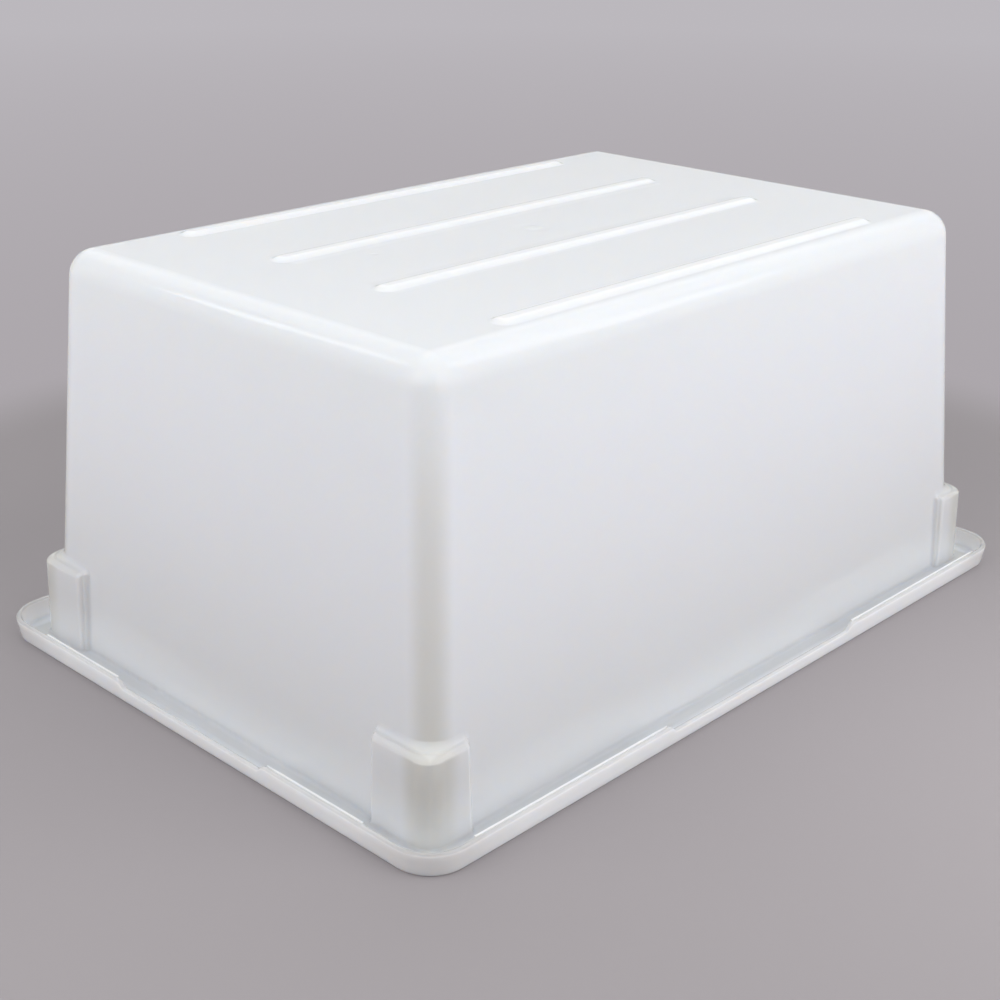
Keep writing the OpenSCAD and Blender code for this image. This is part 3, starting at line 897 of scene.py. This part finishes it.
def milky_plastic(look, box, rim):
    """Satin polyethylene that lets some light through: soft clouds, a fine moulded grain, a mild gloss, with
    painted shade and light on its walls, corners, lugs and lip.
    """
    material, shader, t = new_material("milky_plastic")
    where = t.add("ShaderNodeTexCoord").outputs["Object"]
    clouds, grain = mottled(t, where, PLASTIC_CLOUDS, PLASTIC_GRAIN)
    at = t.add("ShaderNodeSeparateXYZ", Vector=where).outputs
    # Painted shade: the walls grow darker from the base down to the mouth
    rise = t.add("ShaderNodeMapRange", Value=at["Z"], **{"From Max": CAD_HIGH.z}).outputs["Result"]
    colour = mixed(t, rise, (*look.mouth_shade_colour, 1.0), (*look.base_colour, 1.0))
    # Painted light: the lip and the ledge lie outside the walls, with light on both sides, so they take a
    # colour lighter than the walls' painted shade by the mouth
    past_end = t.math("SUBTRACT", t.math("ABSOLUTE", at["X"]), box.rim_length / 2)
    past_side = t.math("SUBTRACT", t.math("ABSOLUTE", at["Y"]), box.rim_width / 2)
    outside = t.math("MAXIMUM", past_end, past_side)
    # The hollow lugs stand out of the walls, which lean with the draft
    lean = t.math("MULTIPLY", at["Z"], math.tan(box.draft))
    proud = t.math("ADD", outside, t.math("ADD", lean, rim.ledge_width))
    inner_line = t.math("MINIMUM", past_end, past_side)
    in_corner = t.math("ADD", inner_line, t.math("ADD", lean, rim.ledge_width))
    # Painted shade: the upright corners take a warm tint
    on_corner = t.slope(in_corner, *INTO_CORNER)
    colour = tinted(t, colour, on_corner, look.corner_shade_tint)
    facing = t.add("ShaderNodeSeparateXYZ", Vector=t.add("ShaderNodeTexCoord").outputs["Normal"]).outputs
    # Painted shade: the upright faces of the corners are darker low down
    on_low_corner = t.math("MULTIPLY", on_corner, t.slope(at["Z"], *DOWN_CORNER))
    on_low_corner = t.math("MULTIPLY", on_low_corner, t.slope(facing["Z"], *UPRIGHT_FACE))
    colour = shaded(t, colour, on_low_corner, look.low_corner_painted_shade)
    # Painted shade: the lugs are darker than the walls
    on_lug = t.slope(proud, *PROUD_OF_WALL)
    colour = shaded(t, colour, on_lug, look.lug_painted_shade)
    # Painted shade: the lugs' tops, which face up, are darker
    on_lug_top = t.math("MULTIPLY", on_lug, t.slope(facing["Z"], *LUG_TOP_FACE))
    colour = shaded(t, colour, on_lug_top, look.lug_top_painted_shade)
    on_rim = t.slope(outside, *(-rim.ledge_width + out for out in OUT_FROM_WALL))
    # Painted light: the walls' foot above the ledge takes on the lip's lighter colour, where shade falls by
    # the lip
    on_foot = t.math("MULTIPLY", t.slope(at["Z"], *DOWN_TO_LEDGE), look.foot_light_share)
    on_rim = t.math("MAXIMUM", on_rim, on_foot)
    colour = mixed(t, on_rim, colour, (*look.lip_colour, 1.0))
    # Painted shade: the lip's crown, which faces up, is darker
    on_crown = t.math("MULTIPLY", on_rim, t.slope(facing["Z"], *CROWN_FACE))
    on_crown = t.math("MULTIPLY", on_crown, t.slope(at["Z"], *UP_THE_LIP))
    colour = shaded(t, colour, on_crown, look.crown_painted_shade)
    # How far a point lies inside the rim's outline, whose corners are round
    round_end = t.math("MAXIMUM", t.math("ADD", past_end, rim.round), 0.0)
    round_side = t.math("MAXIMUM", t.math("ADD", past_side, rim.round), 0.0)
    inside = t.math("SUBTRACT", rim.round, t.length(round_end, round_side))
    on_lip = t.slope(inside, *IN_FROM_RIM)
    # Painted shade: the lip is darker near its corners
    on_lip_corner = t.math("MULTIPLY", on_lip, t.slope(inner_line, *INTO_LIP_CORNER))
    colour = shaded(t, colour, on_lip_corner, look.lip_corner_painted_shade)
    # Painted highlight: the top of the bead is whiter, a bright line along the lip
    over_lip = t.slope(at["Z"], *(rim.lip_height + up for up in OVER_THE_LIP))
    on_bead = t.math("MULTIPLY", on_lip, over_lip)
    colour = mixed(t, on_bead, colour, (*look.thick_and_highlight_colour, 1.0))
    # The ribs and the gate mark are thicker. The ribs are whiter for it, and their whiter tone starts at
    # their very foot, as painted light over the shade there; the gate mark's lighter tone is painted light
    # over the shade of its slopes
    base_z = box.full_height - box.rib_height
    on_rib = t.slope(at["Z"], *(base_z + up for up in OVER_THE_BASE))
    flat = t.add("ShaderNodeCombineXYZ", X=at["X"], Y=at["Y"]).outputs[0]
    from_gate = t.add("ShaderNodeVectorMath", {"operation": "LENGTH"}, in0=flat).outputs["Value"]
    on_gate = t.slope(from_gate, box.gate_width / 2, box.gate_width / 2 - GATE_TONE_EDGE)
    colour = mixed(t, on_rib, colour, (*look.thick_and_highlight_colour, 1.0))
    colour = mixed(t, on_gate, colour, (*look.gate_light_colour, 1.0))
    t.feed(shader.inputs["Base Color"], shaded(t, colour, clouds, look.cloud_shade))
    least, most = look.roughness - ROUGHNESS_CHANGE, look.roughness + ROUGHNESS_CHANGE
    ends = {"From Min": CLOUD_RANGE[0], "From Max": CLOUD_RANGE[1], "To Min": least, "To Max": most}
    rough = t.add("ShaderNodeMapRange", Value=clouds, **ends)
    t.feed(shader.inputs["Roughness"], rough.outputs["Result"])
    # Lamp light reaches the inside through the walls, as it does in milky plastic
    shadow = t.add("ShaderNodeLightPath").outputs["Is Shadow Ray"]
    t.feed(shader.inputs["Alpha"], t.math("SUBTRACT", 1.0, t.math("MULTIPLY", shadow, look.see_through)))
    # Slow waves from uneven cooling, and the grain of the mould's skin
    waves = t.add("ShaderNodeTexNoise", Vector=where, Scale=PLASTIC_WAVES, Detail=1.0)
    slow = t.add("ShaderNodeBump", Height=waves.outputs["Fac"], **WAVE_BUMP)
    fine = t.add("ShaderNodeBump", Height=grain, Normal=slow.outputs["Normal"], **GRAIN_BUMP)
    t.feed(shader.inputs["Normal"], fine.outputs["Normal"])
    shader.subsurface_method = "RANDOM_WALK"
    shader.inputs["Subsurface Weight"].default_value = 1.0
    shader.inputs["Subsurface Radius"].default_value = SCATTER_BY_COLOUR
    shader.inputs["Subsurface Scale"].default_value = look.scatter_depth
    shader.inputs["IOR"].default_value = PLASTIC_IOR
    return material


# Sizes of the clouds and the grain of the paper, and the colour that the darker clouds keep
PAPER_CLOUDS = 1.5
PAPER_GRAIN = 400.0
PAPER_CLOUD_TONE = 0.97
PAPER_BUMP = {"Strength": 0.2, "Distance": 0.1 * MM}
PAPER_ROUGHNESS = 0.9
PAPER_SPECULAR = 0.2
# Where the paper has its far tone, in metres from the middle
FAR_AWAY = 4.0


def studio_paper(look):
    """Matt grey background paper. Far from the box it shows the even tone of a lit sweep."""
    material, shader, t = new_material("studio_paper")
    where = t.add("ShaderNodeTexCoord").outputs["Object"]
    clouds, grain = mottled(t, where, PAPER_CLOUDS, PAPER_GRAIN)
    darker = (*(PAPER_CLOUD_TONE * c for c in look.floor_colour), 1.0)
    colour = mixed(t, clouds, (*look.floor_colour, 1.0), darker)
    # The paper is a little lighter where it catches more light in front of the long side
    near = t.add("ShaderNodeVectorMath", {"operation": "DISTANCE"}, in0=where, in1=look.pool_place)
    in_pool = t.slope(near.outputs["Value"], look.pool_reach, 0.0)
    pool = tinted(t, colour, in_pool, (1.0 + look.pool_gain,) * 3)
    t.feed(shader.inputs["Base Color"], pool)
    bump = t.add("ShaderNodeBump", Height=grain, **PAPER_BUMP)
    t.feed(shader.inputs["Normal"], bump.outputs["Normal"])
    shader.inputs["Roughness"].default_value = PAPER_ROUGHNESS
    shader.inputs["Specular IOR Level"].default_value = PAPER_SPECULAR

    away = t.add("ShaderNodeVectorMath", {"operation": "LENGTH"}, in0=where).outputs["Value"]
    far = t.add("ShaderNodeMapRange", Value=away, **{"From Min": look.sweep_end, "From Max": FAR_AWAY})
    tone = mixed(t, far.outputs["Result"], (*look.sweep_colour, 1.0), (*look.far_colour, 1.0))
    glow = t.add("ShaderNodeEmission", Color=tone)
    risen = t.slope(away, look.sweep_start, look.sweep_end)
    path = t.add("ShaderNodeLightPath").outputs
    seen = t.math("MAXIMUM", path["Is Camera Ray"], path["Is Glossy Ray"])
    seen = t.math("MAXIMUM", seen, path["Is Transmission Ray"])
    blend = t.add("ShaderNodeMixShader", in0=t.math("MULTIPLY", risen, seen))
    t.feed(blend.inputs[1], shader.outputs[0])
    t.feed(blend.inputs[2], glow.outputs[0])
    output = next(n for n in t.tree.nodes if n.type == "OUTPUT_MATERIAL")
    t.feed(output.inputs["Surface"], blend.outputs[0])
    return material


def plain_mesh(obj, name):
    """Gives obj its finished mesh, and takes its modifiers off."""
    graph = bpy.context.evaluated_depsgraph_get()
    mesh = bpy.data.meshes.new_from_object(obj.evaluated_get(graph), depsgraph=graph)
    mesh.name = name
    source = obj.data
    obj.modifiers.clear()
    obj.data = mesh
    bpy.data.meshes.remove(source)


def check_closed(mesh):
    """Raises an error unless the mesh is one closed skin that faces outwards."""
    bm = bmesh.new()
    bm.from_mesh(mesh)
    bad = sum(not e.is_contiguous for e in bm.edges)
    volume = bm.calc_volume(signed=True)
    bm.free()
    if bad or volume <= 0:
        raise RuntimeError(f"{mesh.name}: {bad} open or folded edges, volume {volume:.6f} cubic metres")


class FOODBOX_OT_moulding(bpy.types.Operator):
    """Makes the box: its skin, its ribs and marks, and its milky plastic."""

    bl_idname = "foodbox.moulding"
    bl_label = "Make Box"

    def execute(self, context):
        scene = context.scene
        box, rim, lug = scene.foodbox_box, scene.foodbox_rim, scene.foodbox_lug
        skin = Skin(box, rim, lug)
        mesh = bpy.data.meshes.new("moulded_box")
        skin.build(mesh)
        obj = bpy.data.objects.new("moulded_box", mesh)
        scene.collection.objects.link(obj)
        sizes = skin.moulding_sizes()
        modifier = obj.modifiers.new("Whole Moulding", "NODES")
        modifier.node_group = moulding_tree(sizes)
        values = {**sizes, "Material": milky_plastic(scene.foodbox_plastic, box, rim)}
        for item in modifier.node_group.interface.items_tree:
            if item.in_out == "INPUT" and item.name in values:
                modifier[item.identifier] = values[item.name]
        plain_mesh(obj, "moulded_box")
        check_closed(obj.data)
        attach(obj, BODY)
        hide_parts(NODE)
        return {"FINISHED"}


# Each softbox: its name, its azimuth and elevation in degrees, its distance from the middle of the
# box, its width and height, and whether it is mirrored in the gloss of the plastic
SOFTBOXES = (
    ("left", 164, 30, 1.8, (2.0, 2.0), False),
    ("right", -77, 30, 1.8, (2.0, 2.0), False),
    ("left_fill", 185, 30, 1.8, (1.0, 1.0), True),
    ("right_fill", -95, 30, 1.8, (1.0, 1.0), True),
    ("top", 46, 56, 2.0, (3.6, 1.6), True),
    ("back", 46, 24, 2.2, (2.8, 1.4), True),
    ("left_edge", 125.5, 37, 1.92, (0.25, 0.6), True),
    ("right_edge", -37.5, 38.5, 1.85, (0.42, 0.8), True),
)
FLOOR_RADIUS = 20.0
FLOOR_SEGMENTS = 96
# Width of the camera's sensor in millimetres, and how far the camera sees in metres
SENSOR_WIDTH = 36.0
CAMERA_REACH = 200.0


def around(azimuth, elevation, distance):
    """A place around the middle of the box. The azimuth runs from +X towards +Y, in degrees."""
    a, e = math.radians(azimuth), math.radians(elevation)
    out = Vector((math.cos(e) * math.cos(a), math.cos(e) * math.sin(a), math.sin(e)))
    return BOX_MIDDLE + distance * out


def add_softbox(name, place, size, power, mirrored):
    """A lamp at a place, turned to the box. A lamp that isn't mirrored gives no glare on the gloss."""
    data = bpy.data.lights.new(name, "AREA")
    data.shape = "RECTANGLE"
    data.size, data.size_y = size
    data.energy = power
    lamp = bpy.data.objects.new(name, data)
    lamp.location = place
    lamp.rotation_euler = (BOX_MIDDLE - place).to_track_quat("-Z", "Y").to_euler()
    lamp.visible_glossy = mirrored
    bpy.context.scene.collection.objects.link(lamp)


def add_camera(look):
    """The camera, where the photograph was taken from."""
    turn, tilt, roll = look.camera_turn, -look.camera_tilt, look.camera_roll
    ahead = Vector((math.sin(turn) * math.cos(tilt), math.cos(turn) * math.cos(tilt), math.sin(tilt)))
    right = Vector((math.cos(turn), -math.sin(turn), 0.0))
    up = right.cross(ahead)
    rolled_right = right * math.cos(roll) + up * math.sin(roll)
    rolled_up = up * math.cos(roll) - right * math.sin(roll)
    data = bpy.data.cameras.new("photo_camera")
    data.lens = look.camera_lens
    data.sensor_width = SENSOR_WIDTH
    data.clip_end = CAMERA_REACH
    camera = bpy.data.objects.new("photo_camera", data)
    axes = Matrix((rolled_right, rolled_up, -ahead)).transposed()
    camera.matrix_world = Matrix.Translation(Vector(look.camera_place)) @ axes.to_4x4()
    bpy.context.scene.collection.objects.link(camera)
    bpy.context.scene.camera = camera


class FOODBOX_OT_studio(bpy.types.Operator):
    """Makes the paper floor, the softboxes, the even light and the camera."""

    bl_idname = "foodbox.studio"
    bl_label = "Make Studio"

    def execute(self, context):
        scene = context.scene
        look = scene.foodbox_studio
        mesh = bpy.data.meshes.new("paper_floor")
        bm = bmesh.new()
        bmesh.ops.create_circle(bm, cap_ends=True, segments=FLOOR_SEGMENTS, radius=FLOOR_RADIUS)
        bm.to_mesh(mesh)
        bm.free()
        floor = bpy.data.objects.new("paper_floor", mesh)
        scene.collection.objects.link(floor)
        mesh.materials.append(studio_paper(look))

        for name, azimuth, elevation, distance, size, mirrored in SOFTBOXES:
            power = getattr(look, f"{name}_power")
            add_softbox(f"{name}_softbox", around(azimuth, elevation, distance), size, power, mirrored)

        world = bpy.data.worlds.new("studio")
        scene.world = world
        world.use_nodes = True
        background = next(n for n in world.node_tree.nodes if n.type == "BACKGROUND")
        background.inputs["Color"].default_value = (*look.sky_colour, 1.0)
        background.inputs["Strength"].default_value = look.sky_strength

        add_camera(look)
        scene.view_settings.view_transform = "Standard"
        return {"FINISHED"}


class FOODBOX_PT_panel(bpy.types.Panel):
    """Lists the steps and the sizes of the box."""

    bl_idname = "FOODBOX_PT_panel"
    bl_label = "Food Box"
    bl_space_type = "VIEW_3D"
    bl_region_type = "UI"
    bl_category = "Food Box"

    def draw(self, context):
        layout = self.layout
        for operator in OPERATORS:
            layout.operator(operator.bl_idname)
        for name, group in GROUPS.items():
            settings = getattr(context.scene, name)
            column = layout.box().column()
            column.label(text=group.__doc__)
            for setting in group.__annotations__:
                column.prop(settings, setting)


GROUPS = {
    "foodbox_box": BoxSizes,
    "foodbox_rim": RimSizes,
    "foodbox_lug": LugSizes,
    "foodbox_plastic": PlasticLook,
    "foodbox_studio": StudioLook,
}
OPERATORS = (FOODBOX_OT_moulding, FOODBOX_OT_studio)
CLASSES = (*GROUPS.values(), *OPERATORS, FOODBOX_PT_panel)


def register():
    """Makes the classes and the settings known to Blender."""
    for cls in CLASSES:
        bpy.utils.register_class(cls)
    for name, group in GROUPS.items():
        setattr(bpy.types.Scene, name, bpy.props.PointerProperty(type=group))


def unregister():
    """Takes the settings and the classes away again."""
    for name in GROUPS:
        delattr(bpy.types.Scene, name)
    for cls in reversed(CLASSES):
        bpy.utils.unregister_class(cls)


def main():
    """Registers the settings, and makes the box and the studio."""
    register()
    bpy.ops.foodbox.moulding()
    bpy.ops.foodbox.studio()


if __name__ == "__main__":
    main()
